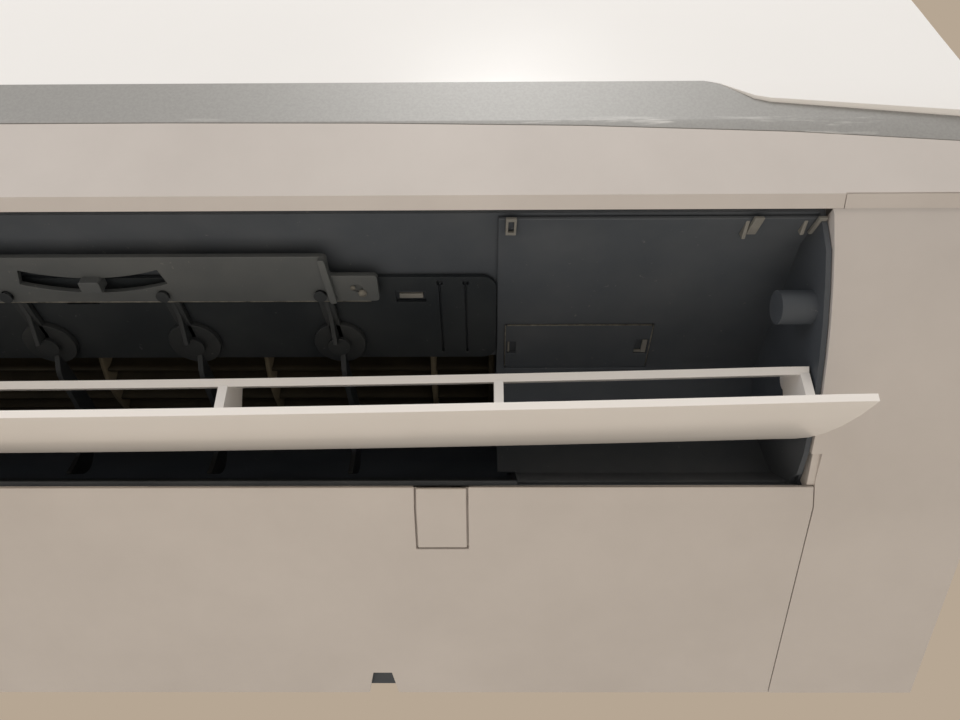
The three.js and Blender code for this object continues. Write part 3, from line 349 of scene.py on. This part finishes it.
# The duct's end wall has a narrow flange, and the end cover an inner edge that meets it.
flange = plate([(85.5, 38.5), (93.5, 39.5), (104, 46), (106.5, 57), (85.5, 57)], 341.4, 342.5, "along", 0.5, 3)
keep(settled(flange), "duct_end_flange", duct_abs, "housing", [], 0.0003)
edge = plate([(88, 36.2), (91.3, 35), (96.5, 37.1), (101.9, 39.4), (106, 41.5), (106, 50), (88, 50)],
             342.6, 345.3, "along")
keep(settled(edge), "end_cover_inner_edge", casing_abs, "housing", [], 0.0003)

# The skin over the motor bay bends down evenly towards the back. The access cover in it is a loose
# lid with a finger window at each end, the right one over a bright clip, and a pale line along its rim.
face = [(163.7, 84.1), (149.7, 89.8), (95, 89.8), (90, 88.9), (86, 87), (82.5, 84), (79, 79.5), (76.5, 74),
        (74.5, 68), (74.6, 60), (76, 51), (85, 41.2)]
back = [(84, 40.3), (74.8, 50.5), (73.3, 60), (73.2, 68.2), (75.3, 74.6), (77.9, 80.3), (81.6, 85),
        (85.4, 88.2), (89.8, 90.2), (95, 91.1), (150, 91.1), (164.2, 85.3)]
skin = pierced(plate(face + back, 239.5, 341.2, "along"), [
    brick((242.5, 297.1), (91.7, 114.2), (80, 95)), brick((230, 246.2), (70, 90), (30, 52))])
keep(settled(skin), "dummy_plate_skin", duct_abs, "housing", ["dummy_plate"], 0.0004)

lid = plate([(242.8, 92), (296.8, 92), (296.8, 113.9), (242.8, 113.9)], 89.5, 91.1, "up", 1.2, 3)
cover = pierced(lid, [brick((243.4, 246.8), (99.4, 105.6), (80, 95)),
                      brick((291.4, 296.2), (99.2, 106.6), (80, 95))])
keep(settled(cover), "access_cover_lid", duct_abs, "housing", ["access_cover"], 0.0003)
clip_abs = moulded("moulded ABS, pale grey", ("#7b7a75", "#8e8c85"), 0.5, 0.9, 0.03, 8, pale_marks="#b5b1a6",
                   sheen=0.4)
hook = together([brick((294.2, 296), (99.6, 106.2), (89.8, 91)),
                 brick((291.6, 296), (99.4, 100.4), (90.2, 91)),
                 brick((243.6, 244.4), (99.6, 105.4), (90.3, 91))])
keep(settled(hook), "access_cover_clips", clip_abs, "housing", [], 0.0002)
# A mottled pale grey for thin lines laid along edges.
pale_edge_line = moulded("pale edge line", ("#4f4d48", "#8d897e"), 0.9, 1.4, 0.1, 3)
rim = together([brick((243.4, 296.4), (113.8, 114.15), (89.35, 89.9)),
                brick((296.7, 297.05), (93, 113.9), (89.35, 89.9)),
                brick((242.55, 242.85), (93, 113.9), (89.5, 89.9))])
keep(settled(rim), "access_cover_pale_rim", pale_edge_line, "housing", [], 0)

# Three small clips of the front casing grip the lip of the duct's ceiling.
hold = pierced(together([plate([(165.2, 81.8), (165.2, 83.2), (156.8, 86.7), (156.8, 85.3)], a, b, "along")
                         for a, b in ((241.8, 245.2), (318.6, 321.6), (338.4, 341))]),
               [brick((242.6, 244.4), (158.2, 163.8), (80, 95))])
hold = together([hold, brick((317.2, 318.4), (155.5, 163), (84.6, 87.4)),
                 brick((335.4, 336.6), (157, 163), (84.6, 86.8))])
keep(settled(hold), "duct_lip_clips", clip_abs, "housing", [], 0.0002)

# Two dark plates stand behind the notches in the underside's rear edge as painted shade,
# in place of the shadow that fills the notches.
notch_shade_plates = together([plate([(2.2, 3.7), (17, 8.8), (17, 10), (2.2, 4.9)], start, start + 25, "along")
                 for start in (183, -208)])
keep(settled(notch_shade_plates), "notch_painted_shade", duct_abs, "housing", [], 0.0002)

# ---------------------------------------------------------------- louver
# A long white ABS blade, arched like a bow, with a slim second vane carried over it on ribs. It
# swings on two pins and stands open at 65 degrees.
louver_abs = moulded("polished ABS, warm white", ("#f3ede6", "#f9f5f0"), 0.22, 6.0, 0.012, 160, sheen=0.55)
blade = drawn_from("louver")
cut_step, half_length, arch, arch_way = 0.0254, 0.334, 0.0045, Vector((0, 0.45, -0.89))
for step in range(-13, 14):
    bmesh.ops.bisect_plane(blade, geom=blade.verts[:] + blade.edges[:] + blade.faces[:], dist=1e-6,
                           plane_co=(cut_step * step, 0, 0), plane_no=(1, 0, 0))
for spot in blade.verts:
    spot.co += arch_way * arch * max(0.0, 1 - (spot.co.x / half_length) ** 2)
keep(blade, "louver_moulding", louver_abs, "louver", ["louver"], 0.0006)
keep(drawn_from("louver_motor"), "louver_motor_case", duct_abs, "housing", ["louver_motor"],
     0.0004)

# ---------------------------------------------------------------- vertical vanes
# Each vane hangs on a round disc from its base plate and is turned by an arm that a long link
# bar joins to its neighbours. All are dark ABS and carry more dust than the duct.
vane_abs = moulded("moulded ABS, dark grey, dusty", ("#24282b", "#2d3134"), 0.5, 0.9, 0.03, 60, pale_marks="#8b8983",
                   sheen=0.4)
vane_turn = math.radians(-6)
vane_pitch, vane_count, pivot_out, arm_length = 54, 5, 107.8, 25.7
vane_sets = (("right", 181.6, 57.6), ("left", -88.4, 25))  # last pivot, and the base's run beyond it
for word, last, run_on in vane_sets:
    for number in range(vane_count):
        pivot = last - vane_pitch * number
        fin_line = [(-35, 87.7), (-4, 87.7), (-11, 81.8), (-28, 80.2), (-37, 78), (-40.3, 69), (-40.6, 61),
                    (-39.8, 56.4), (-48.4, 62.9), (-50, 67.6), (-44, 80)]
        fin = plate(fin_line, -1, 1, "along", 2.1, 4)
        bmesh.ops.rotate(fin, matrix=Matrix.Rotation(vane_turn / 2, 3, "Z"), verts=fin.verts)
        arm = plate([(-2.2, 3), (2.2, 3), (2.4, 17), (3.4, 28), (-2.4, 28), (-2.6, 17)],
                    86.6, 88.6, "up", 1.2, 3)
        web = plate([(4, 87.8), (4, 81.5), (14, 86.2), (25, 86.9)], -0.8, 0.8, "along")
        disc = rod(9.4, 86.6, 88.7, (0, 0), "up", 40)
        hub = rod(4.2, 84.6, 87.4, (0, 0), "up", 24, 3.4)
        pin = rod(1.5, 84.2, 87, (0, arm_length), "up", 16)
        collar = rod(2.4, 82.9, 84.0, (0, arm_length), "up", 16, 1.6)
        whole = together([fin, arm, web, disc, hub, pin, collar])
        bmesh.ops.rotate(whole, matrix=Matrix.Rotation(-vane_turn, 3, "Z"), verts=whole.verts)
        bmesh.ops.translate(whole, vec=(pivot, pivot_out, 0), verts=whole.verts)
        node = f"vane_{word}_{number + 1}"
        keep(settled(whole), node + "_blade", vane_abs, node, [node], 0.0004)

# ---------------------------------------------------------------- vane bases and link bars
# Flat strips under the duct's ceiling that hold the discs, with a sprung latch cut at the end
# and a window where a clip shows. The link bars have a bowed window with the grip across it.
base_abs = moulded("moulded ABS, charcoal", ("#21262a", "#272c30"), 0.5, 0.9, 0.03, 60, pale_marks="#6f706e",
                   sheen=0.4)
link_abs = moulded("moulded ABS, mid grey, dusty", ("#4e5152", "#565959"), 0.5, 0.8, 0.03, 50, pale_marks="#9b9991",
                   sheen=0.45)
window_radius, window_half = 84, 24
for word, last, run_on in vane_sets:
    pivots = [last - vane_pitch * number for number in range(vane_count)]
    far_end, near_end = last + run_on, pivots[-1] - 25
    strip = plate([(near_end, 98.3), (far_end, 98.3), (far_end, 137), (near_end, 137)], 89, 90.5, "up", 5, 6)
    openings = [rod(2.4, 80, 95, (pivot, pivot_out), "up", 24) for pivot in pivots]
    openings += [brick((last - 95.1 - along, last - 83.6 - along), (125.3, 128), (80, 95))
                 for along in (0, 2 * vane_pitch)]
    if word == "right":
        openings += [plate([(x + 0.6, 101), (x + 1.4, 101), (x + 1.4, 133.4), (x + 2.1, 133.4),
                            (x + 2.1, 135.6), (x, 135.6), (x, 133.4), (x + 0.6, 133.4)], 80, 95, "up")
                     for x in (218.5, 227.5)]
        openings.append(brick((203.9, 214.5), (125.8, 130.9), (80, 95)))
        keep(settled(brick((205, 213.4), (126.6, 128.6), (90.2, 91.3))), "vane_base_clip", clip_abs,
             "housing", [], 0.0002)
    keep(settled(pierced(strip, openings)), f"vane_base_{word}_strip", base_abs, "housing",
         [f"vane_base_{word}"], 0.0003)

    shift, pin_line = arm_length * math.sin(vane_turn), pivot_out + arm_length * math.cos(vane_turn)
    near, far, last_pin = pin_line - 3, pin_line + 16, last + shift
    start, end = pivots[-1] + shift - 14, last_pin + 20
    bar = plate([(start, near), (end, near), (end, near + 11), (last_pin + 4, near + 11), (last_pin + 4, far),
                 (start, far)], 84.4, 86.4, "up", 1.2, 3)
    along, out = last - 79, (near + far) / 2 - 1.5
    sweep = [math.asin(window_half / window_radius) * (step / 8 - 1) for step in range(17)]
    bow = [(along + radius * math.sin(angle), out + window_radius - radius * math.cos(angle))
           for radius, angles in ((87.9, sweep), (81.7, sweep[::-1])) for angle in angles]
    openings = [plate(bow, 80, 95, "up")]
    openings += [rod(1.9, 80, 95, (pivot + shift, pin_line), "up", 20) for pivot in pivots]
    openings.append(rod(1.7, 80, 85.3, (last_pin + 13, pin_line + 2.5), "up", 20))
    grip = plate([(along - 3.2, out - 1.7), (along + 3.8, out - 1.7), (along + 3.8, out + 3),
                  (along - 3.2, out + 3)], 81.2, 86, "up", 0.8, 3)
    bridge = brick((along - 1.6, along + 2.2), (out - 5, out + 4), (84.6, 86))
    rib = plate([(last_pin + 1.4, far - 0.2), (last_pin + 3.8, far - 0.2), (last_pin + 5.6, near + 0.4),
                 (last_pin + 3.2, near + 0.4)], 82.4, 85, "up", 0.7, 3)
    whole = together([pierced(bar, openings), grip, bridge, rib])
    keep(settled(whole), f"vane_link_{word}_bar", link_abs, f"link_{word}", [f"vane_link_{word}"],
         0.0003)
    # A pale line along each bar's near edge, and on the right bar two pale specks of debris.
    pale_edge_and_specks = [brick((start + 3, end - 3), (near - 0.25, near + 0.1), (84.3, 84.9))]
    if word == "right":
        pale_edge_and_specks += [rod(1.5, 83.9, 84.5, (last_pin + 14.5, near + 3.6), "up", 9),
                  rod(0.9, 83.8, 84.5, (last_pin + 11.4, near + 6), "up", 7)]
    keep(settled(together(pale_edge_and_specks)), f"vane_link_{word}_dust", pale_edge_line, f"link_{word}", [], 0)

# ---------------------------------------------------------------- fan, motor and bearing
# A cross-flow fan of thirty-five curved blades, moulded in sections and welded at ring after ring.
# Years of running have left brown-black dust on the blades. It turns in a rubber bearing at the
# left and on the shaft of a steel-cased motor at the right.
fan_abs = moulded("glass-filled ABS, black, caked with dust", ("#28241b", "#3a3427"), 0.7, 1.1, 0.05, 18,
                  pale_marks="#6a604e", sheen=0.25)
fan_at = (75, 139.5)


def row(mesh, step, count):
    """Repeats a moulding in a row along the unit."""
    first = mesh.verts[:] + mesh.edges[:] + mesh.faces[:]
    for number in range(1, count):
        made = bmesh.ops.duplicate(mesh, geom=first)["geom"]
        bmesh.ops.translate(mesh, vec=(step * number, 0, 0),
                            verts=[v for v in made if isinstance(v, bmesh.types.BMVert)])
    return mesh


blade_count, blade_steps, blade_out, blade_in, blade_thick = 35, 5, 45.4, 33.0, 1.3
blades = []
for number in range(blade_count):
    lead = math.tau * number / blade_count
    edge = []
    for side, steps in ((0.0, range(blade_steps + 1)), (blade_thick, range(blade_steps, -1, -1))):
        for step in steps:
            radius = blade_out + (blade_in - blade_out) * step / blade_steps
            angle = lead + 0.05 * step + 0.012 * (step - blade_steps / 2) ** 2 + side / radius
            edge.append((fan_at[0] + radius * math.cos(angle), fan_at[1] + radius * math.sin(angle)))
    blades.append(plate(edge, -333, 238, "along"))
ring = pierced(rod(46, -314.4, -312.4, fan_at, "along", 72), [rod(32.6, -320, -300, fan_at, "along", 48)])
rim_abs = moulded("glass-filled ABS, brown with dust", ("#6a624f", "#7b7260"), 0.75, 1.1, 0.05, 18, sheen=0.2)
ring_pitch, ring_count = 66, 9
keep(settled(row(ring, ring_pitch, ring_count)), "crossflow_fan_rings", rim_abs, "fan", [], 0)
ends = [rod(46, 236.6, 239, fan_at, "along", 72), rod(46, -334, -332, fan_at, "along", 72)]
hubs = [rod(12, 237, 251, fan_at, "along", 32), rod(4, -350.8, -332, fan_at, "along", 24)]
keep(settled(together(blades + ends + hubs)), "crossflow_fan_wheel", fan_abs, "fan", ["crossflow_fan"],
     0)

steel, tree, shader, place = blank("galvanised steel")
spangle = add(tree, "ShaderNodeTexVoronoi", {"Scale": 170.0}, {"Vector": place})
zinc = ramp(tree, spangle.outputs["Color"], ("#9da1a3", "#b9bdbe"))
dull = add(tree, "ShaderNodeMapRange", {"To Min": 0.34, "To Max": 0.5}, {"Value": spangle.outputs["Distance"]})
tree.links.new(zinc, shader.inputs["Base Color"])
tree.links.new(dull.outputs[0], shader.inputs["Roughness"])
shader.inputs["Metallic"].default_value = 0.9
keep(settled(rod(3.8, 243, 252.7, fan_at, "along", 32)), "motor_shaft_rod", steel, "fan", ["motor_shaft"],
     0.0003)

rubber = moulded("black rubber", ("#141414", "#1d1d1c"), 0.62, 1.2, 0.03, 12, sheen=0.3)
bearing = pierced(rod(13, -352, -345, fan_at, "along", 48), [rod(4.4, -360, -340, fan_at, "along", 32)])
keep(settled(bearing), "fan_bearing_ring", rubber, "housing", ["fan_bearing"], 0.001)

rib_count = 8
motor_parts = [rod(37.9, 255, 311, fan_at, "along", 64), rod(12, 253, 316, fan_at, "along", 40)]
for number in range(rib_count):
    lead = math.tau * number / rib_count
    spoke = [(fan_at[0] + r * math.cos(lead + t), fan_at[1] + r * math.sin(lead + t))
             for r, t in ((14, -0.1), (34, -0.05), (34, 0.05), (14, 0.1))]
    motor_parts.append(plate(spoke, 311, 313, "along"))
keep(settled(together(motor_parts)), "fan_motor_can", steel, "housing", ["fan_motor"], 0.0012)
keep(drawn_from("motor_clamp"), "motor_clamp_saddle", casing_abs, "housing", ["motor_clamp"],
     0.0008)

# ---------------------------------------------------------------- heat exchanger and pipes
# Thin aluminium fins stacked along the unit in a front pack with a bend and a slanted rear pack,
# between two tube sheets. Copper hairpins join the tubes at the ends, and two copper lines with
# flare nuts leave at the right.
alloy, tree, shader, place = blank("coated aluminium fin stock")
film = add(tree, "ShaderNodeTexNoise", {"Scale": 40.0, "Detail": 4.0}, {"Vector": place})
tree.links.new(ramp(tree, film.outputs["Fac"], ("#a9b1b5", "#c3c9cb")), shader.inputs["Base Color"])
shader.inputs["Metallic"].default_value = 0.85
shader.inputs["Roughness"].default_value = 0.38

copper, tree, shader, place = blank("drawn copper, lightly tarnished")
patina = add(tree, "ShaderNodeTexNoise", {"Scale": 55.0, "Detail": 5.0, "Roughness": 0.65}, {"Vector": place})
tree.links.new(ramp(tree, patina.outputs["Fac"], ("#8a5a3c", "#c58a63")), shader.inputs["Base Color"])
shader.inputs["Metallic"].default_value = 0.95
shader.inputs["Roughness"].default_value = 0.33


def section_of(node):
    """The outline of a straight piece, read off its end: millimetres out and up."""
    mesh = drawn_from(node)
    mesh.faces.ensure_lookup_table()
    ends = [face for face in mesh.faces if abs(face.normal.x) > 0.99]
    end = max(ends, key=lambda face: face.calc_area())
    outline = [(-1000 * v.co.y, 1000 * (v.co.z - bottom_up)) for v in end.verts]
    mesh.free()
    return outline


coil_start, fin_pitch, fin_count = -334, 1.6, 356
for node, name in (("coil_front", "front_fin_pack"), ("coil_rear", "rear_fin_pack")):
    fin = section_of(node)
    pack = row(plate(fin, coil_start, coil_start + 0.28, "along"), fin_pitch, fin_count)
    rim = plate(fin, 235.4, 236, "along")
    keep(settled(together([pack, rim])), name, alloy, "housing", [node], 0)


def bent_tube(radius, path, sides=16):
    """A round tube swept along a path of places in drawing millimetres."""
    mesh = bmesh.new()
    spots = [Vector(p) for p in path]
    rings = []
    for number, spot in enumerate(spots):
        ahead_of = spots[min(number + 1, len(spots) - 1)] - spots[max(number - 1, 0)]
        turn = ahead_of.to_track_quat("Z", "Y").to_matrix()
        rings.append([mesh.verts.new(spot + turn @ Vector((radius * math.cos(a), radius * math.sin(a), 0)))
                      for a in [math.tau * k / sides for k in range(sides)]])
    for one, two in zip(rings, rings[1:]):
        for k in range(sides):
            mesh.faces.new((one[k], one[(k + 1) % sides], two[(k + 1) % sides], two[k]))
    mesh.faces.new(rings[0][::-1])
    mesh.faces.new(rings[-1])
    return mesh


hairpins = [(138, 149), (138, 171), (138, 187), (127, 208), (106, 232), (92, 247)]
bend_radius = 5.4
for word, at, way in (("right", 236.3, 1), ("left", -334.3, -1)):
    sheet = [plate(section_of(node), *sorted((at, at + way * 1.2)), "along")
             for node in ("coil_front", "coil_rear")]
    bends = []
    for out, up in hairpins:
        tilt = math.radians(90 if up < 190 else 132)
        arc = []
        for step in range(11):
            swing = math.pi * step / 10
            arc.append((at + way * (1 + bend_radius * math.sin(swing)),
                        out + bend_radius * math.cos(swing) * math.cos(tilt),
                        up + bend_radius * math.cos(swing) * math.sin(tilt)))
        bends.append(bent_tube(2.6, arc))
    keep(settled(together(sheet + bends)), f"hairpins_{word}", copper, "housing", [f"return_bends_{word}"],
         0)

for node, bore, centre in (("gas_pipe", 4.8, (100, 232)), ("liquid_pipe", 3.2, (119, 208))):
    line = pierced(rod(bore, 237.8, 297.8, centre, "along", 40),
                   [rod(bore - 0.9, 270, 310, centre, "along", 40)])
    nut = pierced(rod(bore + 3, 285.8, 296.8, centre, "along", 6),
                  [rod(bore + 0.1, 280, 300, centre, "along", 40)])
    keep(settled(together([line, nut])), node + "_line", copper, "housing", [node], 0.0004)

# ---------------------------------------------------------------- filters and their rails
# Two washable filters: a fine black net welded to a frame of slim bars, bent to slide down
# curved white rails behind the front panel.
net, tree, shader, place = blank("polypropylene net, charcoal")
strand_mm = 1.3
parts = add(tree, "ShaderNodeSeparateXYZ", links={"Vector": place})
climb = add(tree, "ShaderNodeMath", links={0: parts.outputs["Y"], 1: parts.outputs["Z"]}, operation="SUBTRACT")
waves = []
for source in (parts.outputs["X"], climb.outputs[0]):
    phase = add(tree, "ShaderNodeMath", {1: math.tau * 1000 / strand_mm}, {0: source}, operation="MULTIPLY")
    waves.append(add(tree, "ShaderNodeMath", links={0: phase.outputs[0]}, operation="SINE").outputs[0])
crossed = add(tree, "ShaderNodeMath", links={0: waves[0], 1: waves[1]}, operation="MAXIMUM")
strand = ramp(tree, crossed.outputs[0], ("#1c1e20", "#4b4f52"), 0.45, 0.75)
tree.links.new(strand, shader.inputs["Base Color"])
shader.inputs["Roughness"].default_value = 0.6
bar_width, bar_count = 2.4, 7
for word, start, end in (("right", -42, 242), ("left", -334, -50)):
    outline = section_of(f"air_filter_{word}")
    places = [start + (end - start - bar_width) * step / (bar_count - 1) for step in range(bar_count)]
    frame_bars = [plate(outline, at, at + bar_width, "along") for at in places]
    sheet = plate([(a * 0.998 + 0.2, b * 0.998 + 0.4) for a, b in outline], start + 0.4, end - 0.4, "along")
    keep(settled(together(frame_bars + [sheet])), f"air_filter_{word}_net", net, "housing",
         [f"air_filter_{word}"], 0)
for word in ("left", "middle", "right"):
    keep(drawn_from(f"filter_rail_{word}"), f"filter_rail_{word}_guide", casing_abs, "housing",
         [f"filter_rail_{word}"], 0.0005)
keep(drawn_from("intake_grille"), "intake_grille_bars", casing_abs, "housing", ["intake_grille"],
     0.0004, 2)

# ---------------------------------------------------------------- electrics
# An open moulded box with a green board on four posts, its parts, the terminal block for the mains
# lead and the motor's capacitor, all behind a galvanised lid.
keep(drawn_from("electrics_box"), "electrics_box_tray", casing_abs, "housing", ["electrics_box"],
     0.0005)
keep(drawn_from("electrics_cover"), "electrics_lid", steel, "housing", ["electrics_cover"],
     0.0004)
resist, tree, shader, place = blank("green solder resist over copper tracks")
track = add(tree, "ShaderNodeTexVoronoi", {"Scale": 260.0}, {"Vector": place}, distance="MANHATTAN",
            feature="F1")
lacquer = ramp(tree, track.outputs["Distance"], ("#2c6b3d", "#1d4a2b"), 0.3, 0.42)
tree.links.new(lacquer, shader.inputs["Base Color"])
shader.inputs["Roughness"].default_value = 0.3
board = together([brick((328, 388), (14, 15.6), (146, 256)), brick((366, 382), (15.6, 26), (192, 206)),
                  brick((366, 382), (15.6, 24), (212, 224)), rod(5, 15.6, 30, (374, 236), "out", 32),
                  rod(4, 15.6, 28, (362, 246), "out", 32), brick((332, 340), (15.6, 20), (186, 210))])
keep(settled(board), "control_board_parts", resist, "housing", ["control_board"], 0.0004)
clamps = [9 * number for number in range(5)]
block = pierced(brick((334, 380), (15.9, 29.9), (154, 174)),
                [brick((336.5 + along, 343 + along), (24, 32), (150, 166)) for along in clamps])
heads = [rod(2.4, 24, 27, (339.8 + along, 161), "out", 24) for along in clamps]
keep(settled(together([block] + heads)), "terminal_block_rail", casing_abs, "housing", ["terminal_block"],
     0.0003)
sleeve = moulded("black plastic sleeve over aluminium", ("#161617", "#202022"), 0.35, 2.0, 0.01, 20)
keep(settled(rod(8.9, 15.9, 39.9, (352, 222), "out", 48)), "capacitor_can", sleeve, "housing", ["capacitor"],
     0.001)

# ---------------------------------------------------------------- mounting plate and screws
# Pressed galvanised plate that the unit hangs on, and the three pan-head screws behind the caps.
keep(drawn_from("mounting_plate"), "mounting_plate_pressing", steel, "housing", ["mounting_plate"],
     0.0003, 2)
screw_out = 78.7
for word, along in (("left", -220.3), ("middle", 0), ("right", 220.3)):
    cross = [brick((along - 2, along + 2), (screw_out - 0.4, screw_out + 0.4), (30, 31.8)),
             brick((along - 0.4, along + 0.4), (screw_out - 2, screw_out + 2), (30, 31.8))]
    head = pierced(rod(3.4, 31.1, 32.3, (along, screw_out), "up", 40), cross)
    shank = rod(1.7, 31.6, 41, (along, screw_out), "up", 24)
    keep(settled(together([head, shank])), f"casing_screw_{word}_pan", steel, "housing",
         [f"casing_screw_{word}"], 0.0002, 2)
